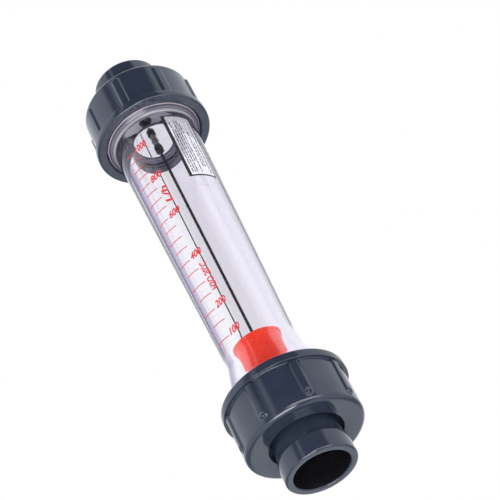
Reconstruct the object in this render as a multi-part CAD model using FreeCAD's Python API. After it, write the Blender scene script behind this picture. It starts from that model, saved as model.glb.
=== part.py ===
# Rotameter for a 32 mm plastic pipe: a clear tapered tube with a float on a rod,
# held between two glue-socket tails by union nuts.
# The axis is Z, the flow runs towards +Z, and the origin is the centre of the
# inlet socket's mouth. The middle of the printed scale side looks towards -Y.
# All sizes are in millimetres and all angles in degrees. Angles around the axis
# are counted from -Y towards +X.
import FreeCAD
import Part
import math
import os

# Overall
overall_length = 308.0

# Pipe socket at each end
socket_bore_radius = 16.1
socket_depth = 22.0
socket_wall = 4.35
socket_mouth_chamfer = 1.1
socket_edge_round = 1.2
socket_sleeve_length = 12.3
socket_shoulder_round = 1.2
tail_neck_relief = 1.3
tail_bore_step = 2.6
tail_flange_thickness = 6.8
tail_flange_round = 0.6
tail_flange_play = 1.3

# Union nut
nut_projection_gap = 20.6
nut_length = 32.0
nut_lip_thickness = 6.0
nut_lip_clearance = 0.85
nut_wall = 4.2
nut_end_round = 2.0
nut_collar_step = 2.0
nut_collar_height = 5.0
nut_collar_round = 0.8
nut_bore_lead = 1.0
rib_count = 8
rib_width = 6.6
rib_height = 1.1
rib_end_margin = 3.0
rib_root_depth = 1.5
rib_dimple_radius = 1.9
rib_dimple_depth = 0.6
rib_dimple_from_end = 2.7
inlet_rib_angle = 12.0
outlet_rib_angle = 28.5

# Clearances
thread_clearance = 0.4
lip_play = 0.1
joint_face_gap = 0.1
seat_clearance = 0.1
rod_hole_clearance = 0.05
bush_running_clearance = 0.06
float_rest_gap = 0.05
pocket_clearance = 0.05
seal_face_gap = 0.02
print_gap = 0.05
cut_overshoot = 1.0

# Seal
seal_section = 3.5
seal_rim_wall = 1.15
seal_groove_side_play = 0.2

# Metering tube
tube_thread_radius = 29.4
tube_thread_length = 18.0
tube_thread_lead = 0.8
tube_neck_share = 0.874
tube_neck_slope = 3.0
tube_neck_round = 6.0
tube_neck_length = 5.4
tube_cone_round = 5.0
waist_below_float_top = 5.5
taper_start_share = 0.817
inlet_bore_share = 0.79
start_bore_share = 0.781
end_bore_share = 0.665
taper_end_margin = 62.0
far_neck_margin = 60.0
guide_seat_depth = 5.0

# Guides, stops and rod
guide_ring_wall = 2.8
guide_ring_height = 4.8
guide_arm_height = 3.8
guide_boss_radius = 4.0
guide_collar_radius = 2.8
guide_collar_height = 5.4
guide_sleeve_radius = 2.0
lower_sleeve_length = 7.4
lower_arm_count = 3
lower_arm_width = 2.6
lower_arm_angle = 0.0
upper_arm_count = 2
upper_arm_width = 10.0
upper_arm_angle = 127.0
rod_radius = 0.9
rod_end_margin = 0.9
rod_nut_across_flats = 4.0
rod_nut_height = 1.8
rod_nut_pocket_play = 0.4
rod_nut_inset = 0.2
stop_disc_radius = 9.0
stop_disc_height = 4.0
cushion_radius = 7.5
cushion_height = 2.0
upper_stop_margin = 65.0
upper_cushion_radius = 2.6
upper_cushion_height = 3.8
upper_disc_gap = 4.0
upper_disc_rise = 10.9
upper_disc_thickness = 2.0
upper_disc_edge = 0.3

# Float
float_length = 34.45
float_rim_share = 0.854
float_rim_height = 2.0
float_rim_edge = 0.8
float_rim_round = 0.3
float_body_share = 0.9
float_shoulder_round = 2.0
float_flare_length = 7.5
float_flare_round = 3.0
float_nose_land = 4.0
float_nose_length = 8.0
float_nose_round = 0.8
float_wall = 2.5
float_floor = 4.0
float_cap_plug_depth = 4.0
bush_radius = 3.0

# Printed scale: the lowest and highest marks, and how the steps close up between them
scale_low_rise = 6.0
scale_high_drop = 9.4
scale_closing = 0.26
scale_top_flow = 1000
scale_low_flow = 100
scale_flow_step = 50
mark_line_height = 0.7
print_thickness = 0.15
main_mark_start_angle = -28.0
main_mark_narrowing = 15.0
minor_mark_start_angle = -18.5
minor_mark_narrowing = 8.0
numbered_mark_end_angle = 3.3
plain_mark_end_angle = 10.0
numbered_flows = (100, 200, 400, 600, 800, 1000)

# Label
label_above_taper = 2.7
label_height = 51.0
label_start_angle = 57.6
label_end_angle = 101.0
label_thickness = 0.2

# Values worked out from the sizes above: radii
axis_origin = FreeCAD.Vector(0, 0, 0)
axis_z = FreeCAD.Vector(0, 0, 1)
socket_radius = socket_bore_radius + socket_wall
tail_neck_radius = socket_radius - tail_neck_relief
tail_bore_radius = socket_bore_radius - tail_bore_step
nut_hole_radius = socket_radius + nut_lip_clearance
nut_bore_radius = tube_thread_radius + thread_clearance
nut_body_radius = nut_bore_radius + nut_wall
nut_collar_radius = nut_body_radius + nut_collar_step
tail_flange_radius = nut_bore_radius - tail_flange_play
seal_groove_width = seal_section + 2 * seal_groove_side_play
seal_centre_radius = tail_flange_radius - seal_rim_wall - seal_groove_width / 2
tube_neck_radius = tube_thread_radius * tube_neck_share
guide_seat_radius = seal_centre_radius - seal_section / 2 - seal_rim_wall
guide_radius = guide_seat_radius - seat_clearance
tube_inlet_bore_radius = tube_neck_radius * inlet_bore_share
taper_outer_end_radius = tube_neck_radius
taper_outer_start_radius = taper_outer_end_radius * taper_start_share
bore_end_radius = tube_neck_radius * end_bore_share
bore_start_radius = taper_outer_start_radius * start_bore_share
rod_hole_radius = rod_radius + rod_hole_clearance
bush_bore_radius = rod_radius + bush_running_clearance
upper_disc_radius = bore_end_radius - upper_disc_gap
float_rim_radius = bore_start_radius * float_rim_share
float_body_radius = float_rim_radius * float_body_share
float_nose_radius = bush_radius + float_nose_land
float_pocket_radius = float_body_radius - float_wall

# Values worked out from the sizes above: heights at the inlet end
nut_face = nut_projection_gap
nut_lip_top = nut_face + nut_lip_thickness
nut_open_end = nut_face + nut_length
flange_bottom = nut_lip_top + lip_play
flange_top = flange_bottom + tail_flange_thickness
tube_start = flange_top + joint_face_gap
tube_thread_end = tube_start + tube_thread_length
seal_centre_height = tube_start - seal_face_gap - seal_section / 2
seal_groove_floor = seal_centre_height - seal_section / 2
guide_seat = tube_start + guide_seat_depth
hub_bottom = guide_seat - guide_arm_height
rod_start = tube_start + rod_end_margin
rod_nut_seat = hub_bottom + rod_nut_height + rod_nut_inset
stop_disc_bottom = guide_seat + lower_sleeve_length
stop_disc_top = stop_disc_bottom + stop_disc_height
cushion_top = stop_disc_top + cushion_height
float_bottom_height = cushion_top + float_rest_gap
float_top_height = float_bottom_height + float_length
float_rim_bottom = float_top_height - float_rim_height
float_plug_bottom = float_rim_bottom - float_cap_plug_depth
taper_start = float_top_height - waist_below_float_top
tube_neck_end = tube_thread_end + tube_neck_slope + tube_neck_length

# Values worked out from the sizes above: heights at the outlet end
tube_end = overall_length - tube_start
rod_end = overall_length - rod_start
taper_end = overall_length - taper_end_margin
far_neck_end = overall_length - far_neck_margin
float_travel_top = overall_length - upper_stop_margin
upper_sleeve_end = float_travel_top + upper_cushion_height
upper_disc_top = float_travel_top + upper_disc_rise
scale_low_height = float_top_height + scale_low_rise
scale_high_height = taper_end - scale_high_drop
label_top = taper_end + label_above_taper
label_bottom = label_top - label_height


def unit(vector):
    """The same direction with length one."""
    return vector / vector.Length


def outline_face(corners):
    """A flat face from (radius, height) corners. A third number rounds that corner."""
    spots = [FreeCAD.Vector(corner[0], 0, corner[1]) for corner in corners]
    count = len(corners)
    stretches = []
    for index, corner in enumerate(corners):
        here = spots[index]
        if len(corner) < 3:
            stretches.append((here, None, here))
            continue
        before = unit(spots[index - 1] - here)
        after = unit(spots[(index + 1) % count] - here)
        half = before.getAngle(after) / 2
        reach = corner[2] / math.tan(half)
        inward = unit(before + after)
        middle = here + inward * (corner[2] / math.sin(half) - corner[2])
        stretches.append((here + before * reach, middle, here + after * reach))
    edges = []
    for index, (start, middle, end) in enumerate(stretches):
        if middle is not None:
            edges.append(Part.Arc(start, middle, end).toShape())
        following = stretches[(index + 1) % count][0]
        if (following - end).Length > 1e-6:
            edges.append(Part.LineSegment(end, following).toShape())
    return Part.Face(Part.Wire(edges))


def turned(corners):
    """A solid of revolution about the axis."""
    return outline_face(corners).revolve(axis_origin, axis_z, 360)


def turned_sector(corners, start_angle, end_angle):
    """A slice of a solid of revolution between two angles around the axis."""
    face = outline_face(corners)
    face.rotate(axis_origin, axis_z, start_angle - 90)
    return face.revolve(axis_origin, axis_z, end_angle - start_angle)


def ring(inner, outer, bottom, top):
    """A plain ring, or a disc when its inner radius is zero."""
    return turned([(inner, bottom), (outer, bottom), (outer, top), (inner, top)])


def to_outlet(shape):
    """Turn a piece of the inlet end over to the outlet end."""
    flipped = shape.copy()
    flipped.rotate(FreeCAD.Vector(0, 0, overall_length / 2), FreeCAD.Vector(1, 0, 0), 180)
    return flipped


def spokes(count, first_angle, width, outer, bottom, top):
    """Straight flat arms that run out from the axis."""
    arms = []
    for index in range(count):
        arm = Part.makeBox(outer, width, top - bottom, FreeCAD.Vector(0, -width / 2, bottom))
        arm.rotate(axis_origin, axis_z, first_angle - 90 + index * 360 / count)
        arms.append(arm)
    return arms


def taper_share(height):
    """How far up the tube's tapered stretch a height is, from 0 to 1."""
    return (height - taper_start) / (taper_end - taper_start)


def tube_outer_radius(height):
    """Outer radius of the tube's tapered stretch at a height."""
    widening = taper_outer_end_radius - taper_outer_start_radius
    return taper_outer_start_radius + widening * taper_share(height)


def make_metering_tube():
    """The clear tube, with its taper inside and out and a threaded collar at each end."""
    far_thread_end = overall_length - tube_thread_end
    far_seat = overall_length - guide_seat
    outside = [
        (tube_thread_radius - tube_thread_lead, tube_start),
        (tube_thread_radius, tube_start + tube_thread_lead),
        (tube_thread_radius, tube_thread_end),
        (tube_neck_radius, tube_thread_end + tube_neck_slope),
        (tube_neck_radius, tube_neck_end, tube_neck_round),
        (taper_outer_start_radius, taper_start, tube_cone_round),
        (taper_outer_end_radius, taper_end),
        (tube_neck_radius, far_neck_end),
        (tube_neck_radius, far_thread_end - tube_neck_slope),
        (tube_thread_radius, far_thread_end),
        (tube_thread_radius, tube_end - tube_thread_lead),
        (tube_thread_radius - tube_thread_lead, tube_end),
    ]
    inside = [
        (guide_seat_radius, tube_end),
        (guide_seat_radius, far_seat),
        (bore_end_radius, far_seat),
        (bore_end_radius, taper_end),
        (bore_start_radius, taper_start, tube_cone_round),
        (tube_inlet_bore_radius, tube_neck_end, tube_neck_round),
        (tube_inlet_bore_radius, guide_seat),
        (guide_seat_radius, guide_seat),
        (guide_seat_radius, tube_start),
    ]
    return turned(outside + inside)


def make_tail():
    """A glue-socket tail: a sleeve, a neck and a flange with a seal groove in its face."""
    body = turned([
        (socket_bore_radius + socket_mouth_chamfer, 0),
        (socket_radius, 0, socket_edge_round),
        (socket_radius, socket_sleeve_length, socket_shoulder_round),
        (tail_neck_radius, socket_sleeve_length),
        (tail_neck_radius, flange_bottom),
        (tail_flange_radius, flange_bottom),
        (tail_flange_radius, flange_top, tail_flange_round),
        (tail_bore_radius, flange_top),
        (tail_bore_radius, socket_depth),
        (socket_bore_radius, socket_depth),
        (socket_bore_radius, socket_mouth_chamfer),
    ])
    half_width = seal_groove_width / 2
    groove = ring(seal_centre_radius - half_width, seal_centre_radius + half_width,
                  seal_groove_floor, flange_top + cut_overshoot)
    return body.cut(groove)


def make_seal():
    """The O-ring between a tail's flange and the tube's end."""
    return Part.makeTorus(seal_centre_radius, seal_section / 2,
                          FreeCAD.Vector(0, 0, seal_centre_height), axis_z)


def make_rib(angle, dimpled):
    """One grip rib of a nut, with a half-round end towards the nut's face."""
    bottom = nut_face + rib_end_margin
    top = nut_open_end - nut_collar_height / 2
    inner = nut_body_radius - rib_root_depth
    reach = rib_height + rib_root_depth + cut_overshoot
    bar = Part.makeBox(reach, rib_width, top - bottom - rib_width / 2,
                       FreeCAD.Vector(inner, -rib_width / 2, bottom + rib_width / 2))
    tip = Part.makeCylinder(rib_width / 2, reach,
                            FreeCAD.Vector(inner, 0, bottom + rib_width / 2),
                            FreeCAD.Vector(1, 0, 0))
    rib = bar.fuse(tip)
    rib_radius = nut_body_radius + rib_height
    rib = rib.common(ring(0, rib_radius, bottom - cut_overshoot, top + cut_overshoot))
    if dimpled:
        floor = FreeCAD.Vector(rib_radius - rib_dimple_depth, 0, bottom + rib_dimple_from_end)
        rib = rib.cut(Part.makeCylinder(rib_dimple_radius, reach, floor, FreeCAD.Vector(1, 0, 0)))
    rib.rotate(axis_origin, axis_z, angle - 90)
    return rib


def make_nut(first_rib_angle, dimpled):
    """A union nut at the inlet end, with a lip behind the tail's flange."""
    body = turned([
        (nut_hole_radius, nut_face),
        (nut_body_radius, nut_face, nut_end_round),
        (nut_body_radius, nut_open_end - nut_collar_height),
        (nut_collar_radius, nut_open_end - nut_collar_height, nut_collar_round),
        (nut_collar_radius, nut_open_end, nut_collar_round),
        (nut_bore_radius + nut_bore_lead, nut_open_end),
        (nut_bore_radius, nut_open_end - nut_bore_lead),
        (nut_bore_radius, nut_lip_top),
        (nut_hole_radius, nut_lip_top),
    ])
    ribs = [make_rib(first_rib_angle + index * 360 / rib_count, dimpled)
            for index in range(rib_count)]
    return body.fuse(ribs).removeSplitter()


def make_guide(arm_count, arm_width, first_arm_angle, sleeve_end):
    """A spider in the tube's end, with a boss and a sleeve that carry the rod."""
    rim = ring(guide_radius - guide_ring_wall, guide_radius,
               guide_seat - guide_ring_height, guide_seat)
    arms = spokes(arm_count, first_arm_angle, arm_width,
                  guide_radius - guide_ring_wall / 2, hub_bottom, guide_seat)
    boss = ring(0, guide_boss_radius, hub_bottom, guide_seat)
    collar = ring(0, guide_collar_radius, hub_bottom, guide_seat + guide_collar_height)
    sleeve = ring(0, guide_sleeve_radius, hub_bottom, sleeve_end)
    spider = rim.fuse(arms + [boss, collar, sleeve])
    hole = ring(0, rod_hole_radius, hub_bottom - cut_overshoot, sleeve_end + cut_overshoot)
    pocket_radius = rod_nut_across_flats / math.sqrt(3) + rod_nut_pocket_play
    pocket = ring(0, pocket_radius, hub_bottom - cut_overshoot, rod_nut_seat)
    return spider.cut([hole, pocket]).removeSplitter()


def make_rod_nut():
    """A hex nut on the rod's lower end, in the guide's pocket."""
    corner_radius = rod_nut_across_flats / math.sqrt(3)
    bottom = rod_nut_seat - rod_nut_height
    corners = [FreeCAD.Vector(corner_radius * math.cos(math.radians(60 * index)),
                              corner_radius * math.sin(math.radians(60 * index)), bottom)
               for index in range(7)]
    prism = Part.Face(Part.makePolygon(corners)).extrude(axis_z * rod_nut_height)
    return prism.cut(ring(0, rod_hole_radius, bottom - cut_overshoot,
                          rod_nut_seat + cut_overshoot))


def make_upper_stop():
    """The polished disc above the float's way, with the short sleeve under it."""
    disc_bottom = upper_disc_top - upper_disc_thickness
    return turned([
        (rod_hole_radius, upper_sleeve_end),
        (guide_sleeve_radius, upper_sleeve_end),
        (guide_sleeve_radius, disc_bottom),
        (upper_disc_radius, disc_bottom, upper_disc_edge),
        (upper_disc_radius, upper_disc_top, upper_disc_edge),
        (rod_hole_radius, upper_disc_top),
    ])


def make_float_body():
    """The red cup of the float, closed at its nose."""
    hole_radius = bush_radius + pocket_clearance
    floor_top = float_bottom_height + float_floor
    return turned([
        (hole_radius, float_bottom_height),
        (float_nose_radius, float_bottom_height, float_nose_round),
        (float_body_radius, float_bottom_height + float_nose_length, float_shoulder_round),
        (float_body_radius, float_top_height - float_flare_length, float_flare_round),
        (float_rim_radius - float_rim_edge, float_rim_bottom),
        (float_pocket_radius, float_rim_bottom),
        (float_pocket_radius, floor_top),
        (hole_radius, floor_top),
    ])


def make_float_cap():
    """The red disc on the float, with a sharp reading edge and a plug in the cup."""
    hole_radius = bush_radius + pocket_clearance
    plug_radius = float_pocket_radius - pocket_clearance
    return turned([
        (hole_radius, float_plug_bottom),
        (plug_radius, float_plug_bottom),
        (plug_radius, float_rim_bottom),
        (float_rim_radius - float_rim_edge, float_rim_bottom),
        (float_rim_radius, float_rim_bottom + float_rim_edge),
        (float_rim_radius, float_top_height, float_rim_round),
        (hole_radius, float_top_height),
    ])


def mark_height(flow):
    """Height of the mark for a flow in litres an hour."""
    share = (flow - scale_low_flow) / (scale_top_flow - scale_low_flow)
    rise = share + scale_closing * share * (1 - share)
    return scale_low_height + (scale_high_height - scale_low_height) * rise


def make_mark(flow):
    """One thin raised mark on the tube; each hundred reaches further to the left."""
    height = mark_height(flow)
    low = height - mark_line_height / 2
    high = height + mark_line_height / 2
    if flow % (2 * scale_flow_step) == 0:
        start = main_mark_start_angle + main_mark_narrowing * taper_share(height)
    else:
        start = minor_mark_start_angle + minor_mark_narrowing * taper_share(height)
    end = numbered_mark_end_angle if flow in numbered_flows else plain_mark_end_angle
    low_radius = tube_outer_radius(low) + print_gap
    high_radius = tube_outer_radius(high) + print_gap
    return turned_sector([
        (low_radius, low),
        (low_radius + print_thickness, low),
        (high_radius + print_thickness, high),
        (high_radius, high),
    ], start, end)


def make_flow_scale():
    """The marks of the scale, from the lowest flow to the highest."""
    flows = range(scale_low_flow, scale_top_flow + 1, scale_flow_step)
    return Part.makeCompound([make_mark(flow) for flow in flows])


def make_rating_label():
    """The clear film label on the tube, above and beside the scale."""
    bottom_radius = tube_outer_radius(label_bottom) + print_gap
    top_radius = taper_outer_end_radius + print_gap
    outline = [
        (bottom_radius, label_bottom),
        (bottom_radius + label_thickness, label_bottom),
        (top_radius + label_thickness, taper_end),
        (top_radius + label_thickness, label_top),
        (top_radius, label_top),
        (top_radius, taper_end),
    ]
    return turned_sector(outline, label_start_angle, label_end_angle)


def make_parts():
    """Every piece by its name."""
    tail = make_tail()
    seal = make_seal()
    rod_nut = make_rod_nut()
    float_floor_top = float_bottom_height + float_floor
    flipped_rib_angle = 180 - outlet_rib_angle
    flipped_arm_angle = 180 - upper_arm_angle
    return {
        "metering_tube": make_metering_tube(),
        "flow_scale": make_flow_scale(),
        "rating_label": make_rating_label(),
        "guide_rod": ring(0, rod_radius, rod_start, rod_end),
        "lower_guide": make_guide(lower_arm_count, lower_arm_width,
                                  lower_arm_angle, stop_disc_bottom),
        "lower_stop": ring(rod_hole_radius, stop_disc_radius, stop_disc_bottom, stop_disc_top),
        "lower_cushion": ring(rod_hole_radius, cushion_radius, stop_disc_top, cushion_top),
        "lower_rod_nut": rod_nut,
        "upper_guide": to_outlet(make_guide(upper_arm_count, upper_arm_width, flipped_arm_angle,
                                            overall_length - upper_disc_top)),
        "upper_stop": make_upper_stop(),
        "upper_cushion": ring(rod_hole_radius, upper_cushion_radius,
                              float_travel_top, upper_sleeve_end),
        "upper_rod_nut": to_outlet(rod_nut),
        "float_body": make_float_body(),
        "float_cap": make_float_cap(),
        "float_weight": ring(bush_radius, float_pocket_radius - pocket_clearance,
                             float_floor_top, float_plug_bottom),
        "float_bottom_bush": ring(bush_bore_radius, bush_radius,
                                  float_bottom_height, float_floor_top),
        "float_top_bush": ring(bush_bore_radius, bush_radius,
                               float_plug_bottom, float_top_height),
        "inlet_tail": tail,
        "inlet_seal": seal,
        "inlet_nut": make_nut(inlet_rib_angle, True),
        "outlet_tail": to_outlet(tail),
        "outlet_seal": to_outlet(seal),
        "outlet_nut": to_outlet(make_nut(flipped_rib_angle, False)),
    }


def main():
    """Write each piece to its own file."""
    os.makedirs("parts", exist_ok=True)
    for name, shape in make_parts().items():
        shape.exportStep(os.path.join("parts", name + ".step"))
        print(name, "valid", shape.isValid(), "solids", len(shape.Solids),
              "volume", round(shape.Volume, 1))


main()
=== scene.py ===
import math
import bpy
from mathutils import Matrix, Vector


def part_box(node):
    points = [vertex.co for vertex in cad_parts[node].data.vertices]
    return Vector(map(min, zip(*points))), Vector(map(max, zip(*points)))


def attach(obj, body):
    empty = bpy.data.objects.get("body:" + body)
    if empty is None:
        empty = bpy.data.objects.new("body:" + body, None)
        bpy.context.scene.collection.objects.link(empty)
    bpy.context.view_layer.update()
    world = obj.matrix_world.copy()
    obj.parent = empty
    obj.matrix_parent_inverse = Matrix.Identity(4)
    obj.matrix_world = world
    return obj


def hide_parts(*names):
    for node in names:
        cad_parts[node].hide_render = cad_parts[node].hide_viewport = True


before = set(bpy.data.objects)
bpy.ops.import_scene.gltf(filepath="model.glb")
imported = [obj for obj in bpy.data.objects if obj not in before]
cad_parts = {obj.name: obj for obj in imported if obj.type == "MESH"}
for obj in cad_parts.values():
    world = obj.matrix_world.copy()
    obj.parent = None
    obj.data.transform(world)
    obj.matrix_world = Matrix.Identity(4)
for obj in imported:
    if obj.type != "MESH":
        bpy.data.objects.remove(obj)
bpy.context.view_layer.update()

# Lengths are in millimetres until place() turns them into metres.
# Angles around the axis are in degrees from -Y towards +X, as seen from above.
MM = 0.001
SAME = 0.01

# Camera of the photograph: it looks up at the meter from below the inlet
CAMERA_AZIMUTH = 37.0
CAMERA_DISTANCE = 764.1
CAMERA_HEIGHT = -436.3
CAMERA_PITCH = 37.42
CAMERA_YAW = 1.19
CAMERA_ROLL = 26.98
CAMERA_LENS = 122.3
SENSOR_WIDTH = 36.0

# Places and radii that the solids share with this scene
TUBE_LOW, TUBE_HIGH = [corner[2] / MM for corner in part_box("metering_tube")]
NUT_LOW, NUT_OPEN = [corner[2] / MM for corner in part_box("inlet_nut")]
TAIL_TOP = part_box("inlet_tail")[1][2] / MM
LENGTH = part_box("outlet_tail")[1][2] / MM
FLOAT_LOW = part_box("float_body")[0][2] / MM
FLOAT_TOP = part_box("float_cap")[1][2] / MM
FLOAT_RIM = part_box("float_cap")[1][0] / MM
THREAD_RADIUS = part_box("metering_tube")[1][0] / MM
COLLAR_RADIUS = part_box("inlet_nut")[1][0] / MM

# Guides and stop, for the tones of their parts
GUIDE_HUB_RADIUS = 4.1
GUIDE_SLEEVE_TOP = 264.0
STOP_SLEEVE_RADIUS = 2.3

# Tube
THREAD_PITCH = 2.309
THREAD_DEPTH = 1.15
THREAD_LENGTH = 18.0
THREAD_LEAD = 0.8
THREAD_STEP = 0.19
NECK_RADIUS = THREAD_RADIUS * 0.874
NECK_SLOPE = 3.0
NECK_LENGTH = 5.4
NECK_END = TUBE_LOW + THREAD_LENGTH + NECK_SLOPE + NECK_LENGTH
SLOPE_ROUND, NECK_ROUND, WAIST_ROUND = 5.0, 6.0, 40.0
TAPER_START, TAPER_END = FLOAT_TOP - 5.5, LENGTH - 62.0
FAR_NECK = LENGTH - 60.0
TAPER_LOW_RADIUS, TAPER_HIGH_RADIUS = NECK_RADIUS * 0.817, NECK_RADIUS
INLET_BORE_RADIUS = NECK_RADIUS * 0.79
END_BORE_RADIUS = NECK_RADIUS * 0.665
START_BORE_RADIUS = TAPER_LOW_RADIUS * 0.781
SEAT_RADIUS = 22.5
SEAT_DEPTH = 5.0
BACK_LINE_START, BACK_LINE_END = 237.3, 240.3

# Nuts
NUT_BODY_RADIUS = 34.0
NUT_HOLE_RADIUS = 21.3
NUT_BORE_RADIUS = 29.8
NUT_LIP = 6.0
COLLAR_HEIGHT = 5.0
RIB_COUNT = 8
RIB_WIDTH = 6.6
RIB_HEIGHT = 1.1
RIB_EDGE = 1.7
RIB_END_MARGIN = 3.0
DIMPLE_RADIUS = 1.9
DIMPLE_DEPTH = 0.6
DIMPLE_FROM_END = 2.7
KNOB_RADIUS = 1.0
KNOB_HEIGHT = 0.7
INLET_RIB_ANGLE = 12.0
OUTLET_RIB_ANGLE = 28.5

# Tails
SOCKET_BORE_RADIUS = 16.1
SOCKET_RADIUS = 20.45
SOCKET_DEPTH = 22.0
SLEEVE_LENGTH = 12.3
NECK_RELIEF = 1.3
FLANGE_LOW = 26.7
FLANGE_RADIUS = 28.5
TAIL_BORE_RADIUS = 13.5
SEAL_OUTER_RADIUS = 27.35
SEAL_INNER_RADIUS = 23.45
SEAL_GROOVE_DEPTH = 3.42

# Float
FLOAT_HOLE_RADIUS = 3.05
FLOAT_FOOT_RADIUS = 7.0
FLOAT_FOOT_HEIGHT = 8.0
FLOAT_SIDE_RADIUS = 12.6
FLOAT_HOLLOW_RADIUS = 10.1
FLOAT_FLOOR = 4.0
FLOAT_FLARE = 7.5
FLOAT_RIM_HEIGHT = 2.0
FLOAT_RIM_EDGE = 0.8
FLOAT_PLUG_DEPTH = 4.0
FLOAT_PLUG_PLAY = 0.05

# Scale
LOW_MARK, HIGH_MARK = FLOAT_TOP + 6.0, TAPER_END - 9.4
MARK_CLOSING = 0.26
MARK_LINE = 0.52
MARK_FALL = 0.095
MAIN_START_ANGLE, MAIN_NARROWING = -28.0, 15.0
MINOR_START_ANGLE, MINOR_NARROWING = -18.5, 8.0
NUMBERED_END_ANGLE = 3.3
PLAIN_END_ANGLE = 10.0
DIGIT_START_ANGLE = 6.5
DIGIT_END_ANGLE = 25.5
DIGIT_HEIGHT = 4.8
DIGIT_DROP = 4.0
NUMBERED_FLOWS = (100, 200, 400, 600, 800, 1000)
UNIT_TEXTS = (("L/h", 13.0, 23.0, 187.5, 200.5), ("H2O 20°C", 12.5, 23.5, 119.0, 140.0))
PRINT_LIFT = 0.05
PRINT_TOP = 0.15

# Label
LABEL_LOW, LABEL_HIGH = TAPER_END - 48.3, TAPER_END + 2.7
LABEL_LEFT, LABEL_RIGHT = 57.6, 101.0
FRAME_LEFT, FRAME_RIGHT = 4.6, 1.2
FRAME_BOTTOM, FRAME_TOP = 1.1, 0.9
SHEET_LIFT, SHEET_TOP = 0.02, 0.14
FRAME_LIFT, FRAME_FACE = 0.15, 0.21
RULE_WIDTH, DASH_GAP, SHORTEST_DASH = 1.3, 0.8, 1.5
DASHES = (3.2, 1.9, 4.4, 2.6, 1.5, 3.8, 2.2)
# Angle of each ruled line, and where it starts and ends above the label's lower edge
RULES = (
    (65.0, 3.0, 46.0), (68.4, 3.0, 40.0), (71.8, 3.0, 46.0), (75.2, 12.0, 46.0),
    (78.6, 3.0, 44.0), (85.0, 8.0, 38.0), (88.6, 8.0, 30.0), (94.0, 3.0, 46.0),
)


def polar(radius, angle, height):
    """The point at this radius, angle around the axis and height."""
    turn = math.radians(angle)
    return (radius * math.sin(turn), -radius * math.cos(turn), height)


def smooth_step(low, high, value):
    """Rises smoothly from 0 at low to 1 at high."""
    share = min(max((value - low) / (high - low), 0.0), 1.0)
    return share * share * (3 - 2 * share)


def place(name, points, faces, material, smooth=True):
    """A new mesh object from points in millimetres."""
    mesh = bpy.data.meshes.new(name)
    mesh.from_pydata([tuple(c * MM for c in point) for point in points], [], faces)
    mesh.validate()
    mesh.update()
    piece = bpy.data.objects.new(name, mesh)
    bpy.context.scene.collection.objects.link(piece)
    mesh.materials.append(material)
    if smooth:
        mesh.polygons.foreach_set("use_smooth", [True] * len(mesh.polygons))
    return piece


def rounded(corners, step=0.35):
    """Points of a closed outline; a third number rounds a corner with an arc."""
    count = len(corners)
    points = []
    for index, corner in enumerate(corners):
        here = Vector(corner[:2])
        if len(corner) < 3:
            points.append(tuple(here))
            continue
        before = (Vector(corners[index - 1][:2]) - here).normalized()
        after = (Vector(corners[(index + 1) % count][:2]) - here).normalized()
        half = before.angle(after) / 2
        radius = corner[2]
        centre = here + (before + after).normalized() * (radius / math.sin(half))
        start = here + before * (radius / math.tan(half)) - centre
        sweep = (math.pi - 2 * half)
        if before.x * after.y - before.y * after.x > 0:
            sweep = -sweep
        pieces = max(3, int(abs(sweep) * radius / step) + 1)
        for cut in range(pieces + 1):
            turn = Matrix.Rotation(sweep * cut / pieces, 2)
            points.append(tuple(centre + turn @ start))
    return points


def densified(points, longest, thread_step=None):
    """The closed outline with every run cut into lengths up to this, finer on a thread."""
    result = []
    for index, point in enumerate(points):
        following = points[(index + 1) % len(points)]
        threaded = thread_step and min(point[0], following[0]) > THREAD_RADIUS - SAME
        step = thread_step if threaded else longest
        cuts = max(1, math.ceil(math.dist(point, following) / step))
        for cut in range(cuts):
            share = cut / cuts
            result.append(tuple(a + (b - a) * share for a, b in zip(point, following)))
    return result


def turned_faces(columns, rows):
    """Faces of a closed outline that is repeated around the axis."""
    faces = []
    for column in range(columns):
        base = column * rows
        beyond = ((column + 1) % columns) * rows
        for row in range(rows):
            following = (row + 1) % rows
            faces.append((base + row, beyond + row, beyond + following, base + following))
    return faces


def lathe(name, outline, material, segments, change=None):
    """Turn a closed outline about the axis; change(radius, height, angle) may move a point."""
    points = []
    for column in range(segments):
        angle = 360 * column / segments
        for radius, height in outline:
            if change is not None:
                radius, height = change(radius, height, angle)
            points.append(polar(radius, angle, height))
    return place(name, points, turned_faces(segments, len(outline)), material)


def auto_smooth(piece, angle):
    """Keep edges sharper than this angle crisp under smooth shading."""
    piece.data.set_sharp_from_angle(angle=math.radians(angle))


def flip_to_outlet(piece):
    """Turn an inlet-end mesh over to the outlet end."""
    middle = Vector((0, 0, LENGTH / 2 * MM))
    turn = Matrix.Rotation(math.pi, 4, "X")
    piece.data.transform(Matrix.Translation(middle) @ turn @ Matrix.Translation(-middle))


# Materials

def shader(name):
    """A new node material with its tree and its principled shader."""
    material = bpy.data.materials.new(name)
    material.use_nodes = True
    tree = material.node_tree
    return material, tree, tree.nodes["Principled BSDF"]


def coordinates(tree, scale):
    """Object coordinates, in millimetres times the given scale."""
    source = tree.nodes.new("ShaderNodeTexCoord")
    mapping = tree.nodes.new("ShaderNodeMapping")
    mapping.inputs["Scale"].default_value = [1000 * s for s in scale]
    tree.links.new(source.outputs["Object"], mapping.inputs["Vector"])
    return mapping.outputs["Vector"]


def noise(tree, scale, detail, stretch=(1, 1, 1)):
    """Noise with this many cells a millimetre."""
    texture = tree.nodes.new("ShaderNodeTexNoise")
    texture.inputs["Scale"].default_value = scale
    texture.inputs["Detail"].default_value = detail
    tree.links.new(coordinates(tree, stretch), texture.inputs["Vector"])
    return texture.outputs["Fac"]


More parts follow.
